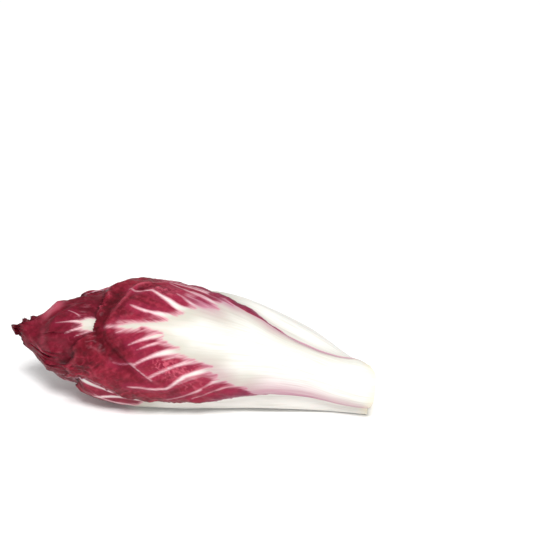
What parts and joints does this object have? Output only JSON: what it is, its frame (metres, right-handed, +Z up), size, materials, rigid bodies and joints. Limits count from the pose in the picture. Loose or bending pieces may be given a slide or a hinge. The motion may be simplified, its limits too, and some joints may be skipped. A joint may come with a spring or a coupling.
{
  "type": "red endive",
  "caption": "Pointed head of tightly wrapped red chicory leaves with broad cream ribs on a short cut stem, lying on its side.",
  "frame": {"origin": "on the table plane, under the middle of the lying head: centre of the bounding box's bottom face", "axes": "+X along the head towards the cut base (the pointed tip is at -X), +Z up, -Y the front side in the picture"},
  "size_m": [0.15, 0.0522, 0.0517],
  "materials": {
    "outer_leaf": "fresh smooth leaf: broad satin cream rib, crimson blade with pale fanned veins, thin ragged margin",
    "middle_leaf": "fresh leaf blade, dark crimson with a satin sheen, cream rib and fine pale veins",
    "inner_leaf": "young leaf blade, dark maroon, slightly crumpled, satin",
    "heart": "tightly closed smallest leaves, dark maroon, satin, with a ragged tip",
    "stem": "freshly cut pale yellowish stem, matt and slightly moist"
  },
  "bodies": {
    "root": {"leaf_front": "outer_leaf", "leaf_under": "outer_leaf", "leaf_back": "outer_leaf", "leaf_tip": "middle_leaf", "leaf_low": "middle_leaf", "leaf_rear": "middle_leaf", "inner_front": "inner_leaf", "inner_top": "inner_leaf", "inner_back": "inner_leaf", "heart": "heart", "stem_core": "stem"}
  },
  "joints": []
}
